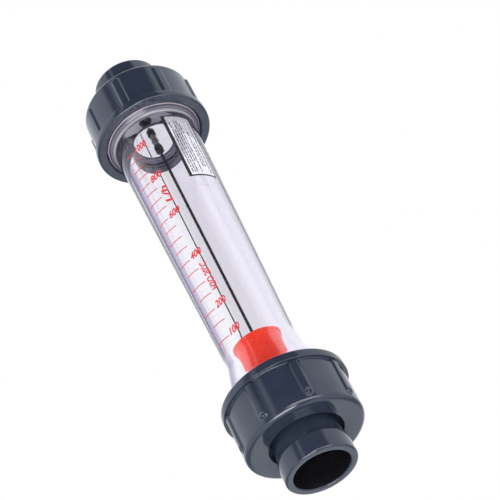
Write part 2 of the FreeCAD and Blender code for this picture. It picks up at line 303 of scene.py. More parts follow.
def ramp(tree, value, low, high, low_color, high_color):
    """A colour between two, as the value goes from low to high."""
    node = tree.nodes.new("ShaderNodeValToRGB")
    node.color_ramp.elements[0].position = low
    node.color_ramp.elements[1].position = high
    node.color_ramp.elements[0].color = (*low_color, 1)
    node.color_ramp.elements[1].color = (*high_color, 1)
    tree.links.new(value, node.inputs["Fac"])
    return node.outputs["Color"]


def spread(tree, value, low, high):
    """The value stretched from 0..1 to low..high."""
    node = tree.nodes.new("ShaderNodeMapRange")
    node.inputs["To Min"].default_value = low
    node.inputs["To Max"].default_value = high
    tree.links.new(value, node.inputs["Value"])
    return node.outputs["Result"]


def bump(tree, bsdf, value, strength, distance, base=None):
    """Bump of this depth in millimetres on the shader's normal."""
    node = tree.nodes.new("ShaderNodeBump")
    node.inputs["Strength"].default_value = strength
    node.inputs["Distance"].default_value = distance * MM
    tree.links.new(value, node.inputs["Height"])
    if base is not None:
        tree.links.new(base, node.inputs["Normal"])
    tree.links.new(node.outputs["Normal"], bsdf.inputs["Normal"])
    return node.outputs["Normal"]


def maths(tree, operation, first, second=None):
    """One maths node."""
    node = tree.nodes.new("ShaderNodeMath")
    node.operation = operation
    for index, value in enumerate((first, second)):
        if value is None:
            continue
        if isinstance(value, (int, float)):
            node.inputs[index].default_value = value
        else:
            tree.links.new(value, node.inputs[index])
    return node.outputs["Value"]


def share_of(tree, value, low, high):
    """The value as a share of the way from low to high, kept between 0 and 1."""
    node = tree.nodes.new("ShaderNodeMapRange")
    node.inputs["From Min"].default_value = low
    node.inputs["From Max"].default_value = high
    tree.links.new(value, node.inputs["Value"])
    return node.outputs["Result"]


def window(tree, value, start, end, soft):
    """A smooth window: 1 between start and end, 0 outside."""
    rise = tree.nodes.new("ShaderNodeMapRange")
    rise.interpolation_type = "SMOOTHSTEP"
    rise.inputs["From Min"].default_value = start - soft
    rise.inputs["From Max"].default_value = start + soft
    tree.links.new(value, rise.inputs["Value"])
    fall = tree.nodes.new("ShaderNodeMapRange")
    fall.interpolation_type = "SMOOTHSTEP"
    fall.inputs["From Min"].default_value = end - soft
    fall.inputs["From Max"].default_value = end + soft
    fall.inputs["To Min"].default_value = 1
    fall.inputs["To Max"].default_value = 0
    tree.links.new(value, fall.inputs["Value"])
    return maths(tree, "MULTIPLY", rise.outputs["Result"], fall.outputs["Result"])


def color_stops(tree, share, low, high, stops):
    """Colours set at places along a range."""
    node = tree.nodes.new("ShaderNodeValToRGB")
    elements = node.color_ramp.elements
    while len(elements) < len(stops):
        elements.new(0.5)
    for element, (place_at, color) in zip(elements, stops):
        element.position = (place_at - low) / (high - low)
        element.color = (*color, 1)
    tree.links.new(share, node.inputs["Fac"])
    return node.outputs["Color"]


def mixed(tree, share, first, second):
    """A colour between two; each is a colour or another node's output."""
    node = tree.nodes.new("ShaderNodeMix")
    node.data_type = "RGBA"
    tree.links.new(share, node.inputs["Factor"])
    for socket, value in ((node.inputs[6], first), (node.inputs[7], second)):
        if isinstance(value, tuple):
            socket.default_value = (*value, 1)
        else:
            tree.links.new(value, socket)
    return node.outputs[2]


# Painted highlight and reflection rings on the slope, as tones at shares of the way from the neck
# out to the thread; they stand in for the clear thread's crest highlights and silvery internal
# reflections
SLOPE_PAINTED_RINGS = (
    (0.00, (0.22, 0.22, 0.23)), (0.20, (0.30, 0.30, 0.32)), (0.35, (0.07, 0.06, 0.09)),
    (0.50, (0.16, 0.15, 0.18)), (0.66, (0.05, 0.04, 0.075)), (0.80, (0.04, 0.03, 0.06)),
    (0.90, (0.50, 0.45, 0.51)), (1.00, (0.05, 0.04, 0.07)),
)


def make_pvc():
    """Dark slate grey moulded plastic with a satin skin."""
    material, tree, bsdf = shader("slate_plastic")
    broad = noise(tree, 0.05, 4)
    fine = noise(tree, 2.2, 3)
    color = ramp(tree, broad, 0.35, 0.68, (0.0175, 0.0245, 0.043), (0.0235, 0.031, 0.050))
    tree.links.new(color, bsdf.inputs["Base Color"])
    tree.links.new(spread(tree, noise(tree, 0.35, 4), 0.09, 0.17), bsdf.inputs["Roughness"])
    bsdf.inputs["IOR"].default_value = 1.53
    skin = bump(tree, bsdf, fine, 0.2, 0.008)
    bump(tree, bsdf, noise(tree, 0.12, 2), 0.3, 0.08, skin)
    return material


def make_clear():
    """Clear moulded plastic with a faint violet tint; lamps shine through it."""
    material, tree, bsdf = shader("clear_plastic")
    bsdf.inputs["Base Color"].default_value = (1, 1, 1, 1)
    bsdf.inputs["Transmission Weight"].default_value = 1.0
    bsdf.inputs["IOR"].default_value = 1.49
    streaks = noise(tree, 0.6, 3, (1, 1, 0.03))
    tree.links.new(spread(tree, streaks, 0.0, 0.02), bsdf.inputs["Roughness"])
    bump(tree, bsdf, streaks, 0.1, 0.02)
    through = tree.nodes.new("ShaderNodeBsdfTransparent")
    through.inputs["Color"].default_value = (0.93, 0.92, 0.96, 1)
    path = tree.nodes.new("ShaderNodeLightPath")
    mix = tree.nodes.new("ShaderNodeMixShader")
    output = tree.nodes["Material Output"]
    tree.links.new(path.outputs["Is Shadow Ray"], mix.inputs["Fac"])
    tree.links.new(bsdf.outputs["BSDF"], mix.inputs[1])
    tree.links.new(through.outputs["BSDF"], mix.inputs[2])
    tree.links.new(mix.outputs["Shader"], output.inputs["Surface"])
    tint = tree.nodes.new("ShaderNodeVolumeAbsorption")
    tint.inputs["Color"].default_value = (0.70, 0.62, 0.86, 1)
    tint.inputs["Density"].default_value = 14.0
    tree.links.new(tint.outputs["Volume"], output.inputs["Volume"])
    return material


def radius_from_axis(tree):
    """Distance from the meter's axis, in millimetres."""
    source = tree.nodes.new("ShaderNodeTexCoord")
    parts = tree.nodes.new("ShaderNodeSeparateXYZ")
    tree.links.new(source.outputs["Object"], parts.inputs["Vector"])
    across, ahead = parts.outputs["X"], parts.outputs["Y"]
    square = maths(tree, "ADD", maths(tree, "MULTIPLY", across, across),
                   maths(tree, "MULTIPLY", ahead, ahead))
    return maths(tree, "MULTIPLY", maths(tree, "SQRT", square), 1000.0)


def make_slope_plastic():
    """The tube's plastic on the slope below each thread, with turned ridges and painted silvery
    highlight rings.
    """
    material, tree, bsdf = shader("slope_plastic")
    reach = radius_from_axis(tree)
    share = share_of(tree, reach, NECK_RADIUS, THREAD_RADIUS)
    # Painted highlights and reflections: these tones stand in for light caught inside the clear
    # thread.
    rings = color_stops(tree, share, 0.0, 1.0, SLOPE_PAINTED_RINGS)
    tree.links.new(rings, bsdf.inputs["Base Color"])
    bsdf.inputs["IOR"].default_value = 1.5
    streaks = noise(tree, 0.9, 3)
    tree.links.new(spread(tree, streaks, 0.12, 0.24), bsdf.inputs["Roughness"])
    ridges_turned = maths(tree, "SINE", maths(tree, "MULTIPLY", reach, 6.0))
    ridges = bump(tree, bsdf, ridges_turned, 1.0, 0.035)
    bump(tree, bsdf, streaks, 0.3, 0.05, ridges)
    return material


def make_thread_plastic():
    """The tube's plastic on its threads, part clear, with a pale streaky tone painted in as the
    silvery reflections inside the clear thread.
    """
    material, tree, bsdf = shader("thread_painted_sheen")
    streaks = noise(tree, 0.8, 3, (1, 1, 4))
    # Painted reflection: the pale tones stand in for light reflected inside the clear thread.
    tree.links.new(ramp(tree, streaks, 0.3, 0.7, (0.62, 0.60, 0.66), (0.84, 0.83, 0.88)),
                   bsdf.inputs["Base Color"])
    bsdf.inputs["Transmission Weight"].default_value = 0.45
    bsdf.inputs["IOR"].default_value = 1.49
    tree.links.new(spread(tree, streaks, 0.22, 0.36), bsdf.inputs["Roughness"])
    bump(tree, bsdf, streaks, 0.2, 0.03)
    return material


def make_print(name, color, low_share):
    """Screen-printed ink, a little uneven."""
    material, tree, bsdf = shader(name)
    patchy = noise(tree, 1.6, 4)
    thin = tuple(c * low_share for c in color)
    tree.links.new(ramp(tree, patchy, 0.3, 0.7, thin, color), bsdf.inputs["Base Color"])
    bsdf.inputs["Roughness"].default_value = 0.5
    bump(tree, bsdf, noise(tree, 5.0, 2), 0.3, 0.01)
    return material


def make_film():
    """Clear label film with a slight haze."""
    material, tree, bsdf = shader("label_film")
    tree.links.new(ramp(tree, noise(tree, 0.25, 3, (1, 1, 0.2)), 0.3, 0.7,
                        (0.80, 0.79, 0.84), (0.92, 0.92, 0.95)), bsdf.inputs["Base Color"])
    bsdf.inputs["Roughness"].default_value = 0.22
    bsdf.inputs["Alpha"].default_value = 0.30
    bump(tree, bsdf, noise(tree, 0.8, 3, (1, 1, 0.2)), 0.2, 0.03)
    return material


def make_red():
    """Bright orange-red plastic of the float."""
    material, tree, bsdf = shader("float_red")
    tree.links.new(ramp(tree, noise(tree, 0.12, 3), 0.3, 0.7, (0.95, 0.034, 0.008),
                        (1.0, 0.046, 0.012)), bsdf.inputs["Base Color"])
    tree.links.new(spread(tree, noise(tree, 0.9, 3), 0.22, 0.34), bsdf.inputs["Roughness"])
    bump(tree, bsdf, noise(tree, 2.5, 2), 0.25, 0.02)
    return material


def make_moulded(name, dark, light, rough_low, rough_high, specular=0.5):
    """Plain moulded plastic between two tones."""
    material, tree, bsdf = shader(name)
    bsdf.inputs["Specular IOR Level"].default_value = specular
    tree.links.new(ramp(tree, noise(tree, 0.2, 4), 0.3, 0.7, dark, light),
                   bsdf.inputs["Base Color"])
    tree.links.new(spread(tree, noise(tree, 0.8, 3), rough_low, rough_high),
                   bsdf.inputs["Roughness"])
    bump(tree, bsdf, noise(tree, 2.5, 3), 0.3, 0.03)
    return material


def make_guide_plastic():
    """Pale grey plastic of the rod guides, with a grey sleeve at the hub and painted shade at the
    hub above the sleeve's top, where its pocket lies.
    """
    material, tree, bsdf = shader("guide_plastic")
    source = tree.nodes.new("ShaderNodeTexCoord")
    parts = tree.nodes.new("ShaderNodeSeparateXYZ")
    tree.links.new(source.outputs["Object"], parts.inputs["Vector"])
    hub = maths(tree, "LESS_THAN", radius_from_axis(tree), GUIDE_HUB_RADIUS)
    sleeve = maths(tree, "LESS_THAN", parts.outputs["Z"], GUIDE_SLEEVE_TOP * MM)
    patchy = noise(tree, 0.3, 4)
    pale = ramp(tree, patchy, 0.3, 0.7, (0.76, 0.76, 0.78), (0.86, 0.86, 0.88))
    # Painted shade: the near-black tone at the hub above the sleeve stands in for the dark pocket
    # there.
    dark = ramp(tree, patchy, 0.3, 0.7, (0.030, 0.030, 0.034), (0.045, 0.044, 0.050))
    grey = ramp(tree, patchy, 0.3, 0.7, (0.17, 0.16, 0.18), (0.21, 0.20, 0.22))
    middle = mixed(tree, sleeve, dark, grey)
    tree.links.new(mixed(tree, hub, pale, middle), bsdf.inputs["Base Color"])
    bsdf.inputs["Roughness"].default_value = 0.4
    bump(tree, bsdf, noise(tree, 1.5, 3), 0.2, 0.02)
    return material


def make_polished():
    """Polished stainless steel with faint turning marks, duller on the sleeve."""
    material, tree, bsdf = shader("polished_steel")
    bsdf.inputs["Metallic"].default_value = 1.0
    marks = noise(tree, 1.2, 3)
    bright = ramp(tree, marks, 0.3, 0.7, (0.60, 0.60, 0.61), (0.70, 0.70, 0.71))
    sleeve = maths(tree, "LESS_THAN", radius_from_axis(tree), STOP_SLEEVE_RADIUS)
    tree.links.new(mixed(tree, sleeve, bright, (0.16, 0.155, 0.165)),
                   bsdf.inputs["Base Color"])
    tree.links.new(spread(tree, marks, 0.05, 0.12), bsdf.inputs["Roughness"])
    bump(tree, bsdf, marks, 0.05, 0.01)
    return material


def make_steel(name, tone, stretch):
    """Drawn or turned stainless steel with fine marks one way."""
    material, tree, bsdf = shader(name)
    bsdf.inputs["Metallic"].default_value = 1.0
    marks = noise(tree, 3.0, 4, stretch)
    shade = tuple(c * 0.8 for c in tone)
    tree.links.new(ramp(tree, marks, 0.3, 0.7, shade, tone), bsdf.inputs["Base Color"])
    tree.links.new(spread(tree, marks, 0.28, 0.5), bsdf.inputs["Roughness"])
    bump(tree, bsdf, marks, 0.3, 0.02)
    return material


def make_rubber():
    """Black rubber with a dull bloom."""
    material, tree, bsdf = shader("black_rubber")
    tree.links.new(ramp(tree, noise(tree, 0.4, 4), 0.35, 0.7, (0.012, 0.012, 0.013),
                        (0.028, 0.028, 0.030)), bsdf.inputs["Base Color"])
    bsdf.inputs["Roughness"].default_value = 0.62
    bump(tree, bsdf, noise(tree, 3.0, 3), 0.4, 0.04)
    return material


pvc = make_pvc()
bore_shade = make_moulded("bore_shade", (0.004, 0.004, 0.005), (0.007, 0.007, 0.008), 0.5, 0.6,
                          specular=0.12)
clear = make_clear()
slope_plastic = make_slope_plastic()
thread_painted_sheen = make_thread_plastic()
scale_ink = make_print("scale_ink", (0.62, 0.030, 0.045), 0.8)
label_ink = make_print("label_ink", (0.012, 0.012, 0.014), 0.6)
rule_ink = make_print("rule_ink", (0.045, 0.045, 0.055), 0.7)
# Tone of the dark line drawn down the tube's back wall.
back_line_tone = make_print("back_line_tone", (0.055, 0.050, 0.060), 0.8)
film = make_film()
red = make_red()
stop_grey = make_moulded("stop_grey", (0.045, 0.042, 0.055), (0.065, 0.060, 0.075), 0.35, 0.5)
guide_plastic = make_guide_plastic()
polished_steel = make_polished()
bush_white = make_moulded("bush_white", (0.72, 0.72, 0.69), (0.85, 0.85, 0.82), 0.4, 0.55)
rod_steel = make_steel("rod_steel", (0.11, 0.107, 0.112), (1, 1, 0.05))
nut_steel = make_steel("nut_steel", (0.52, 0.52, 0.53), (0.3, 0.3, 2.0))
rubber = make_rubber()


# Tube

def tube_radius(height):
    """Outer radius of the tapered stretch at a height."""
    share = min((height - TAPER_START) / (TAPER_END - TAPER_START), 1.0)
    return TAPER_LOW_RADIUS + share * (TAPER_HIGH_RADIUS - TAPER_LOW_RADIUS)


def thread_change(radius, height, angle):
    """Cut a helical thread into the two end collars of the tube."""
    if radius < THREAD_RADIUS - SAME:
        return radius, height
    from_end = min(height - TUBE_LOW, TUBE_HIGH - height)
    runout = smooth_step(THREAD_LENGTH, THREAD_LENGTH - 2.5, from_end)
    lead = smooth_step(0.0, 1.5, from_end)
    phase = (height / THREAD_PITCH - angle / 360) % 1.0
    ridge = abs(2 * phase - 1)
    groove = smooth_step(0.2, 0.8, ridge)
    return radius - THREAD_DEPTH * groove * runout * lead, height


def make_tube():
    """The clear tube, tapered inside and out, with a thread at each end; the threads and the
    slopes below them get painted silvery reflections.
    """
    thread_end = TUBE_LOW + THREAD_LENGTH
    far_thread = TUBE_HIGH - THREAD_LENGTH
    outline = rounded([
        (THREAD_RADIUS - THREAD_LEAD, TUBE_LOW),
        (THREAD_RADIUS, TUBE_LOW + THREAD_LEAD),
        (THREAD_RADIUS, thread_end, 0.5),
        (NECK_RADIUS, thread_end + NECK_SLOPE, SLOPE_ROUND),
        (NECK_RADIUS, NECK_END, NECK_ROUND),
        (TAPER_LOW_RADIUS, TAPER_START, WAIST_ROUND),
        (TAPER_HIGH_RADIUS, TAPER_END),
        (NECK_RADIUS, FAR_NECK),
        (NECK_RADIUS, far_thread - NECK_SLOPE, SLOPE_ROUND),
        (THREAD_RADIUS, far_thread, 0.5),
        (THREAD_RADIUS, TUBE_HIGH - THREAD_LEAD),
        (THREAD_RADIUS - THREAD_LEAD, TUBE_HIGH),
        (SEAT_RADIUS, TUBE_HIGH),
        (SEAT_RADIUS, TUBE_HIGH - SEAT_DEPTH),
        (END_BORE_RADIUS, TUBE_HIGH - SEAT_DEPTH),
        (END_BORE_RADIUS, TAPER_END),
        (START_BORE_RADIUS, TAPER_START, WAIST_ROUND),
        (INLET_BORE_RADIUS, NECK_END, NECK_ROUND),
        (INLET_BORE_RADIUS, TUBE_LOW + SEAT_DEPTH),
        (SEAT_RADIUS, TUBE_LOW + SEAT_DEPTH),
        (SEAT_RADIUS, TUBE_LOW),
    ])
    dense = densified(outline, 6.0, THREAD_STEP)
    piece = lathe("tube_glass", dense, clear, 192, thread_change)
    auto_smooth(piece, 40)
    piece.data.materials.append(slope_plastic)
    piece.data.materials.append(thread_painted_sheen)
    for polygon in piece.data.polygons:
        middle = polygon.center / MM
        from_end = min(middle.z - TUBE_LOW, TUBE_HIGH - middle.z)
        if math.hypot(middle.x, middle.y) < NECK_RADIUS + 0.2:
            continue
        if from_end > THREAD_LENGTH - 0.7:
            polygon.material_index = 1
        elif from_end > 0.5:
            polygon.material_index = 2
    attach(piece, "tube")
    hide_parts("metering_tube")


# Printed scale and label

def patch(points, faces, start, end, low, high, inner=PRINT_LIFT, outer=PRINT_TOP, fall=0.0):
    """Add a thin curved plate on the tube; it may fall by some millimetres a degree."""
    columns = max(2, math.ceil(abs(end - start) / 2))
    rows = max(1, math.ceil(abs(high - low) / 10))
    base = len(points)
    for lift in (inner, outer):
        for row in range(rows + 1):
            height = low + (high - low) * row / rows
            for column in range(columns + 1):
                angle = start + (end - start) * column / columns
                drop = fall * (angle - start)
                points.append(polar(tube_radius(height) + lift, angle, height - drop))
    width = columns + 1
    layer = width * (rows + 1)

    def spot(side, row, column):
        return base + side * layer + row * width + column

    for row in range(rows):
        for column in range(columns):
            faces.append((spot(1, row, column), spot(1, row, column + 1),
                          spot(1, row + 1, column + 1), spot(1, row + 1, column)))
            faces.append((spot(0, row, column), spot(0, row + 1, column),
                          spot(0, row + 1, column + 1), spot(0, row, column + 1)))
    for column in range(columns):
        faces.append((spot(0, 0, column), spot(0, 0, column + 1),
                      spot(1, 0, column + 1), spot(1, 0, column)))
        faces.append((spot(0, rows, column + 1), spot(0, rows, column),
                      spot(1, rows, column), spot(1, rows, column + 1)))
    for row in range(rows):
        faces.append((spot(0, row + 1, 0), spot(0, row, 0),
                      spot(1, row, 0), spot(1, row + 1, 0)))
        faces.append((spot(0, row, columns), spot(0, row + 1, columns),
                      spot(1, row + 1, columns), spot(1, row, columns)))


def mark_height(flow):
    """Height of the mark for a flow in litres an hour."""
    share = (flow - 100) / 900
    return LOW_MARK + (HIGH_MARK - LOW_MARK) * (share + MARK_CLOSING * share * (1 - share))


def mark_start(flow):
    """Angle at which a mark starts; each hundred reaches further to the left."""
    share = (mark_height(flow) - TAPER_START) / (TAPER_END - TAPER_START)
    if flow % 100 == 0:
        return MAIN_START_ANGLE + MAIN_NARROWING * share
    return MINOR_START_ANGLE + MINOR_NARROWING * share


def add_text(points, faces, words, start, end, low, high, upwards=False):
    """Add words bent onto the tube, to fill a field of angles and heights."""
    curve = bpy.data.curves.new("words", "FONT")
    curve.body = words
    curve.shear = 0.25
    curve.offset = 0.03
    curve.extrude = 0.01
    curve.resolution_u = 6
    letters = bpy.data.objects.new("words", curve)
    bpy.context.scene.collection.objects.link(letters)
    bpy.context.view_layer.update()
    mesh = bpy.data.meshes.new_from_object(letters)
    bpy.data.objects.remove(letters)
    bpy.data.curves.remove(curve)
    spots = [vertex.co.copy() for vertex in mesh.vertices]
    left, right = min(s.x for s in spots), max(s.x for s in spots)
    bottom, top = min(s.y for s in spots), max(s.y for s in spots)
    base = len(points)
    for s in spots:
        along = (s.x - left) / (right - left)
        across = (s.y - bottom) / (top - bottom)
        if upwards:
            along, across = 1 - across, along
        angle = start + (end - start) * along
        height = low + (high - low) * across
        lift = PRINT_TOP if s.z > 0 else PRINT_LIFT
        points.append(polar(tube_radius(height) + lift, angle, height))
    faces.extend(tuple(base + corner for corner in polygon.vertices) for polygon in mesh.polygons)
    bpy.data.meshes.remove(mesh)


def make_scale():
    """The red marks, numbers and units printed on the tube."""
    points, faces = [], []
    for flow in range(100, 1001, 50):
        height = mark_height(flow)
        numbered = flow in NUMBERED_FLOWS
        end = NUMBERED_END_ANGLE if numbered else PLAIN_END_ANGLE
        patch(points, faces, mark_start(flow), end,
              height - MARK_LINE / 2, height + MARK_LINE / 2, fall=MARK_FALL)
        if numbered:
            base = height - DIGIT_DROP
            add_text(points, faces, str(flow), DIGIT_START_ANGLE, DIGIT_END_ANGLE,
                     base, base + DIGIT_HEIGHT)
    for words, start, end, low, high in UNIT_TEXTS:
        add_text(points, faces, words, start, end, low, high, upwards=True)
    piece = place("scale_print", points, faces, scale_ink, smooth=False)
    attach(piece, "tube")
    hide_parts("flow_scale")


def make_label():
    """A clear film with a black frame and broken ruled lines."""
    points, faces = [], []
    patch(points, faces, LABEL_LEFT, LABEL_RIGHT, LABEL_LOW, LABEL_HIGH, SHEET_LIFT, SHEET_TOP)
    sheet = place("label_sheet", points, faces, film)
    auto_smooth(sheet, 40)
    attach(sheet, "tube")
    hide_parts("rating_label")
    points, faces = [], []
    left, right = LABEL_LEFT + FRAME_LEFT, LABEL_RIGHT - FRAME_RIGHT
    bars = ((LABEL_LEFT, left, LABEL_LOW, LABEL_HIGH),
            (right, LABEL_RIGHT, LABEL_LOW, LABEL_HIGH),
            (left, right, LABEL_LOW, LABEL_LOW + FRAME_BOTTOM),
            (left, right, LABEL_HIGH - FRAME_TOP, LABEL_HIGH))
    for bar in bars:
        patch(points, faces, *bar, FRAME_LIFT, FRAME_FACE)
    border = place("label_frame", points, faces, label_ink, smooth=False)
    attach(border, "tube")
    points, faces = [], []
    for row, (angle, low, high) in enumerate(RULES):
        step = row
        while low < high - SHORTEST_DASH:
            length = min(DASHES[step % len(DASHES)], high - low)
            patch(points, faces, angle, angle + RULE_WIDTH, LABEL_LOW + low,
                  LABEL_LOW + low + length, FRAME_LIFT, FRAME_FACE)
            low += length + DASH_GAP
            step += 1
    lines = place("label_rules", points, faces, rule_ink, smooth=False)
    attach(lines, "tube")


def make_seam():
    """A dark line drawn down the tube's back wall."""
    points, faces = [], []
    patch(points, faces, BACK_LINE_START, BACK_LINE_END, TAPER_START + 3, TAPER_END, 0.01, 0.10)
    piece = place("seam_line", points, faces, back_line_tone, smooth=False)
    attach(piece, "tube")


# Nuts

def rib_lift(height, offset, dimpled):
    """How far a rib stands out at a height and at a sideways distance from its middle."""
    low = NUT_LOW + RIB_END_MARGIN + RIB_WIDTH / 2
    if height < low:
        from_middle = math.hypot(offset, low - height)
    else:
        from_middle = abs(offset)
    lift = RIB_HEIGHT * smooth_step(RIB_WIDTH / 2, RIB_WIDTH / 2 - RIB_EDGE, from_middle)
    if dimpled:
        reach = math.hypot(offset, height - NUT_LOW - RIB_END_MARGIN - DIMPLE_FROM_END)
        bowl = DIMPLE_DEPTH * smooth_step(DIMPLE_RADIUS, DIMPLE_RADIUS - 0.6, reach)
        knob = KNOB_HEIGHT * smooth_step(KNOB_RADIUS, 0.1, reach)
        lift += knob - bowl
    return lift


def nut_angles(first):
    """Angles around a nut, close together along the ribs' edges."""
    half = math.degrees(RIB_WIDTH / 2 / NUT_BODY_RADIUS)
    near = [-half * 1.12 + 2 * half * 1.12 * index / 34 for index in range(35)]
    gap_start = near[-1]
    gap_end = 360 / RIB_COUNT + near[0]
    between = [gap_start + (gap_end - gap_start) * index / 14 for index in range(1, 14)]
    return [(first + 360 / RIB_COUNT * rib + angle, angle)
            for rib in range(RIB_COUNT) for angle in near + between]


def make_nut(name, first_rib, dimpled):
    """A union nut at the inlet end: a lathed body with ribs raised on it."""
    collar_low = NUT_OPEN - COLLAR_HEIGHT
    outline = rounded([
        (NUT_HOLE_RADIUS, NUT_LOW, 0.5),
        (NUT_BODY_RADIUS, NUT_LOW, 3.0),
        (NUT_BODY_RADIUS, collar_low, 0.5),
        (COLLAR_RADIUS, collar_low, 0.35),
        (COLLAR_RADIUS, NUT_OPEN, 1.2),
        (NUT_BORE_RADIUS + 1.0, NUT_OPEN, 0.3),
        (NUT_BORE_RADIUS, NUT_OPEN - 1.0),
        (NUT_BORE_RADIUS, NUT_LOW + NUT_LIP),
        (NUT_HOLE_RADIUS, NUT_LOW + NUT_LIP),
    ], 0.25)
    side = [point for point in outline if abs(point[0] - NUT_BODY_RADIUS) < SAME]
    side_low = min(height for _, height in side)
    side_high = max(height for _, height in side)
    rib_zone = NUT_LOW + RIB_END_MARGIN + RIB_WIDTH
    dense = []
    for index, point in enumerate(outline):
        following = outline[(index + 1) % len(outline)]
        on_side = (abs(point[0] - NUT_BODY_RADIUS) < SAME
                   and abs(following[0] - NUT_BODY_RADIUS) < SAME)
        if on_side:
            fine = max(1, round((rib_zone - side_low) / 0.22))
            coarse = 10
            dense.extend((NUT_BODY_RADIUS, side_low + (rib_zone - side_low) * cut / fine)
                         for cut in range(fine))
            dense.extend((NUT_BODY_RADIUS, rib_zone + (side_high - rib_zone) * cut / coarse)
                         for cut in range(coarse))
        else:
            dense.append(point)
    angles = nut_angles(first_rib)
    points = []
    for angle, from_rib in angles:
        offset = math.radians(from_rib) * NUT_BODY_RADIUS
        for radius, height in dense:
            if abs(radius - NUT_BODY_RADIUS) < SAME and side_low <= height <= collar_low:
                radius += rib_lift(height, offset, dimpled)
            points.append(polar(radius, angle, height))
    piece = place(name, points, turned_faces(len(angles), len(dense)), pvc)
    auto_smooth(piece, 50)
    return piece


def make_nuts():
    """Both union nuts; the outlet nut is turned over."""
    inlet = make_nut("inlet_nut_shell", INLET_RIB_ANGLE, True)
    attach(inlet, "inlet_union")
    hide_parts("inlet_nut")
    outlet = make_nut("outlet_nut_shell", 180 - OUTLET_RIB_ANGLE, False)
    flip_to_outlet(outlet)
    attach(outlet, "outlet_union")
    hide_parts("outlet_nut")


# Tails

def make_tail(name):
    """A glue-socket tail at the inlet end, with its bore in shade."""
    neck = SOCKET_RADIUS - NECK_RELIEF
    outline = rounded([
        (SOCKET_BORE_RADIUS, 0, 0.9),
        (SOCKET_RADIUS, 0, 1.2),
        (SOCKET_RADIUS, SLEEVE_LENGTH, 1.2),
        (neck, SLEEVE_LENGTH, 0.3),
        (neck, FLANGE_LOW),
        (FLANGE_RADIUS, FLANGE_LOW),
        (FLANGE_RADIUS, TAIL_TOP, 0.6),
        (SEAL_OUTER_RADIUS, TAIL_TOP),
        (SEAL_OUTER_RADIUS, TAIL_TOP - SEAL_GROOVE_DEPTH),
        (SEAL_INNER_RADIUS, TAIL_TOP - SEAL_GROOVE_DEPTH),
        (SEAL_INNER_RADIUS, TAIL_TOP),
        (TAIL_BORE_RADIUS, TAIL_TOP, 0.5),
        (TAIL_BORE_RADIUS, SOCKET_DEPTH),
        (SOCKET_BORE_RADIUS, SOCKET_DEPTH),
    ], 0.2)
    piece = lathe(name, densified(outline, 4.0), pvc, 192)
    auto_smooth(piece, 40)
    piece.data.materials.append(bore_shade)
    for polygon in piece.data.polygons:
        middle = polygon.center / MM
        if math.hypot(middle.x, middle.y) < SOCKET_BORE_RADIUS + 0.1 and middle.z < TAIL_TOP - 1:
            polygon.material_index = 1
    return piece


def make_tails():
    """Both tails; the outlet one is turned over."""
    inlet = make_tail("inlet_tail_body")
    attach(inlet, "inlet_end")
    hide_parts("inlet_tail")
    outlet = make_tail("outlet_tail_body")
    flip_to_outlet(outlet)
    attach(outlet, "outlet_end")
    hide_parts("outlet_tail")


# Float

def make_float():
    """The red cup and its cap with the sharp reading edge."""
    rim_low = FLOAT_TOP - FLOAT_RIM_HEIGHT
    rim_foot_radius = FLOAT_RIM - FLOAT_RIM_EDGE
    plug_radius = FLOAT_HOLLOW_RADIUS - FLOAT_PLUG_PLAY
    cup = lathe("float_cup", densified(rounded([
        (FLOAT_HOLE_RADIUS, FLOAT_LOW),
        (FLOAT_FOOT_RADIUS, FLOAT_LOW, 0.8),
        (FLOAT_SIDE_RADIUS, FLOAT_LOW + FLOAT_FOOT_HEIGHT, 2.0),
        (FLOAT_SIDE_RADIUS, FLOAT_TOP - FLOAT_FLARE, 3.0),
        (rim_foot_radius, rim_low),
        (FLOAT_HOLLOW_RADIUS, rim_low),
        (FLOAT_HOLLOW_RADIUS, FLOAT_LOW + FLOAT_FLOOR),
        (FLOAT_HOLE_RADIUS, FLOAT_LOW + FLOAT_FLOOR),
    ], 0.2), 3.0), red, 128)
    auto_smooth(cup, 40)
    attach(cup, "float")
    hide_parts("float_body")
    cap = lathe("float_disc", densified(rounded([
        (FLOAT_HOLE_RADIUS, rim_low - FLOAT_PLUG_DEPTH),
        (plug_radius, rim_low - FLOAT_PLUG_DEPTH),
        (plug_radius, rim_low),
        (rim_foot_radius, rim_low),
        (FLOAT_RIM, rim_low + FLOAT_RIM_EDGE, 0.2),
        (FLOAT_RIM, FLOAT_TOP, 0.3),
        (FLOAT_HOLE_RADIUS, FLOAT_TOP),
    ], 0.1), 3.0), red, 160)
    auto_smooth(cap, 40)
    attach(cap, "float")
    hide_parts("float_cap")


def dress(node, material):
    """Give a carried-over solid its finished material."""
    piece = bpy.data.objects[node]
    for slot in piece.material_slots:
        slot.link = "OBJECT"
        slot.material = material


def dress_solids():
    """Materials of the pieces whose solids show as they are."""
    finishes = {
        "guide_rod": rod_steel,
        "lower_guide": guide_plastic,
        "lower_stop": stop_grey,
        "lower_cushion": rubber,
        "lower_rod_nut": nut_steel,
        "upper_guide": guide_plastic,
        "upper_stop": polished_steel,
        "upper_cushion": rubber,
        "upper_rod_nut": nut_steel,
        "float_weight": nut_steel,
        "float_bottom_bush": bush_white,
        "float_top_bush": bush_white,
        "inlet_seal": rubber,
        "outlet_seal": rubber,
    }
    for node, material in finishes.items():
        dress(node, material)


# Studio

def camera_vector(right_share, forward_share, up_share):
    """A direction from the photograph's own right, forward and up."""
    turn = math.radians(CAMERA_AZIMUTH)
    right = Vector((math.cos(turn), math.sin(turn), 0))
    forward = Vector((-math.sin(turn), math.cos(turn), 0))
    return right * right_share + forward * forward_share + Vector((0, 0, up_share))


